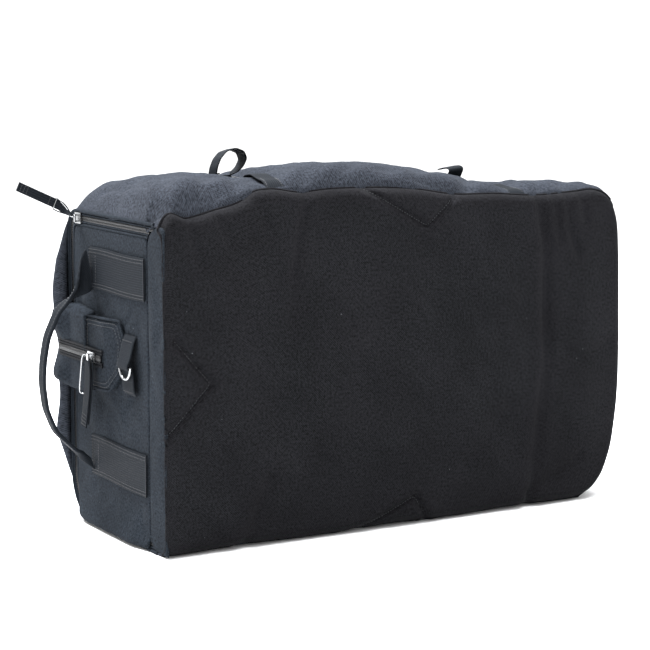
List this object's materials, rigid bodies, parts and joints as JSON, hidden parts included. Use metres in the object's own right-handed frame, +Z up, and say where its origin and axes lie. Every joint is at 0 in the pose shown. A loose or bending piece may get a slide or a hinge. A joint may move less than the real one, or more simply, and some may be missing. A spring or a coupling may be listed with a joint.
{
  "type": "flight bag",
  "caption": "Soft convertible travel bag standing on its long side, with a padded back panel, zip-open end flap, end handle, D-rings, zip pulls and compression straps.",
  "frame": {"origin": "middle of the face that the bag rests on, level with the floor", "axes": "+X along the bag's length, away from the end with the handle; -Y out of the padded back panel; +Z up"},
  "size_m": [0.6898, 0.2578, 0.4263],
  "materials": {
    "body_fabric": "woven",
    "back_panel_fabric": "woven",
    "lining": "woven",
    "foam": "matte",
    "stiffener": "matte",
    "zip_tape": "woven",
    "zip_coil": "satin",
    "webbing": "woven",
    "nickel_plate": "polished",
    "acetal": "satin"
  },
  "bodies": {
    "bag_body": {"back_panel_cover": "back_panel_fabric", "back_panel_foam": "foam", "stiffener_sheet": "stiffener", "top_side_panel": "body_fabric", "bottom_side_panel": "body_fabric", "front_upper_panel": "body_fabric", "front_lower_panel": "body_fabric", "right_end_panel": "body_fabric", "left_end_band": "body_fabric", "bag_lining": "lining", "main_zip_tapes": "zip_tape", "main_zip_coil": "zip_coil", "end_zip_outer_tape": "zip_tape", "end_zip_outer_coil": "zip_coil", "zip_patch_right": "body_fabric", "d_ring_strap_right": "webbing", "strap_webbing_left": "webbing", "strap_webbing_right": "webbing", "buckle_anchor_left": "webbing", "buckle_anchor_right": "webbing", "buckle_socket_left": "acetal", "buckle_socket_right": "acetal"},
    "end_flap": {"end_flap_panel": "body_fabric", "end_flap_lining": "lining", "end_zip_inner_tape": "zip_tape", "end_zip_inner_coil": "zip_coil", "handle_band_upper": "webbing", "handle_band_lower": "webbing", "zip_patch_left": "body_fabric", "patch_zip_tape": "zip_tape", "patch_zip_coil": "zip_coil", "d_ring_strap_left": "webbing"},
    "end_handle": {"end_handle": "webbing"},
    "d_ring_left": {"d_ring_left": "nickel_plate"},
    "d_ring_right": {"d_ring_right": "nickel_plate"},
    "patch_slider": {"patch_slider": "nickel_plate"},
    "patch_pull": {"patch_pull_wire": "nickel_plate", "patch_pull_tab": "webbing"},
    "front_slider": {"front_slider": "nickel_plate"},
    "front_pull": {"front_pull_wire": "nickel_plate", "front_pull_tab": "webbing"},
    "end_slider_upper": {"end_slider_upper": "nickel_plate"},
    "end_pull": {"end_pull_wire": "nickel_plate", "end_pull_tab": "webbing"},
    "buckle_plug_left": {"buckle_plug_left": "acetal", "strap_tail_left": "webbing"},
    "buckle_plug_right": {"buckle_plug_right": "acetal", "strap_tail_right": "webbing"}
  },
  "joints": [
    {"name": "end_flap_hinge", "type": "hinge", "parent": "bag_body", "child": "end_flap", "pos_m": [-0.3, -0.08, 0.18], "axis": [0, 0, 1], "range_deg": [0, 105]},
    {"name": "end_handle_swing", "type": "hinge", "parent": "end_flap", "child": "end_handle", "pos_m": [-0.306, 0.062, 0.19], "axis": [0, 0, -1], "range_deg": [-30, 45]},
    {"name": "d_ring_left_swing", "type": "hinge", "parent": "end_flap", "child": "d_ring_left", "pos_m": [-0.309, -0.038, 0.199], "axis": [0, 1, 0], "range_deg": [0, 150]},
    {"name": "d_ring_right_swing", "type": "hinge", "parent": "bag_body", "child": "d_ring_right", "pos_m": [0.309, -0.038, 0.199], "axis": [0, -1, 0], "range_deg": [0, 150]},
    {"name": "patch_slider_slide", "type": "slide", "parent": "end_flap", "child": "patch_slider", "axis": [0, -1, 0], "range_m": [-0.07, 0]},
    {"name": "patch_pull_swing", "type": "hinge", "parent": "patch_slider", "child": "patch_pull", "pos_m": [-0.3195, 0.034, 0.2], "axis": [0, 1, 0], "range_deg": [0, 110]},
    {"name": "front_slider_slide", "type": "slide", "parent": "bag_body", "child": "front_slider", "axis": [-1, 0, 0], "range_m": [0, 0.52]},
    {"name": "front_pull_swing", "type": "hinge", "parent": "front_slider", "child": "front_pull", "pos_m": [0.26, 0.1355, 0.2], "axis": [1, 0, 0], "range_deg": [0, 150]},
    {"name": "end_slider_upper_slide", "type": "slide", "parent": "end_flap", "child": "end_slider_upper", "axis": [0, -1, 0], "range_m": [0, 0.15]},
    {"name": "end_pull_swing", "type": "hinge", "parent": "end_slider_upper", "child": "end_pull", "pos_m": [-0.3035, 0.1, 0.35], "axis": [0, 1, 0], "range_deg": [-115, 20]},
    {"name": "buckle_left_release", "type": "slide", "parent": "bag_body", "child": "buckle_plug_left", "axis": [0, -1, 0], "range_m": [0, 0.026]},
    {"name": "buckle_right_release", "type": "slide", "parent": "bag_body", "child": "buckle_plug_right", "axis": [0, -1, 0], "range_m": [0, 0.026]}
  ]
}
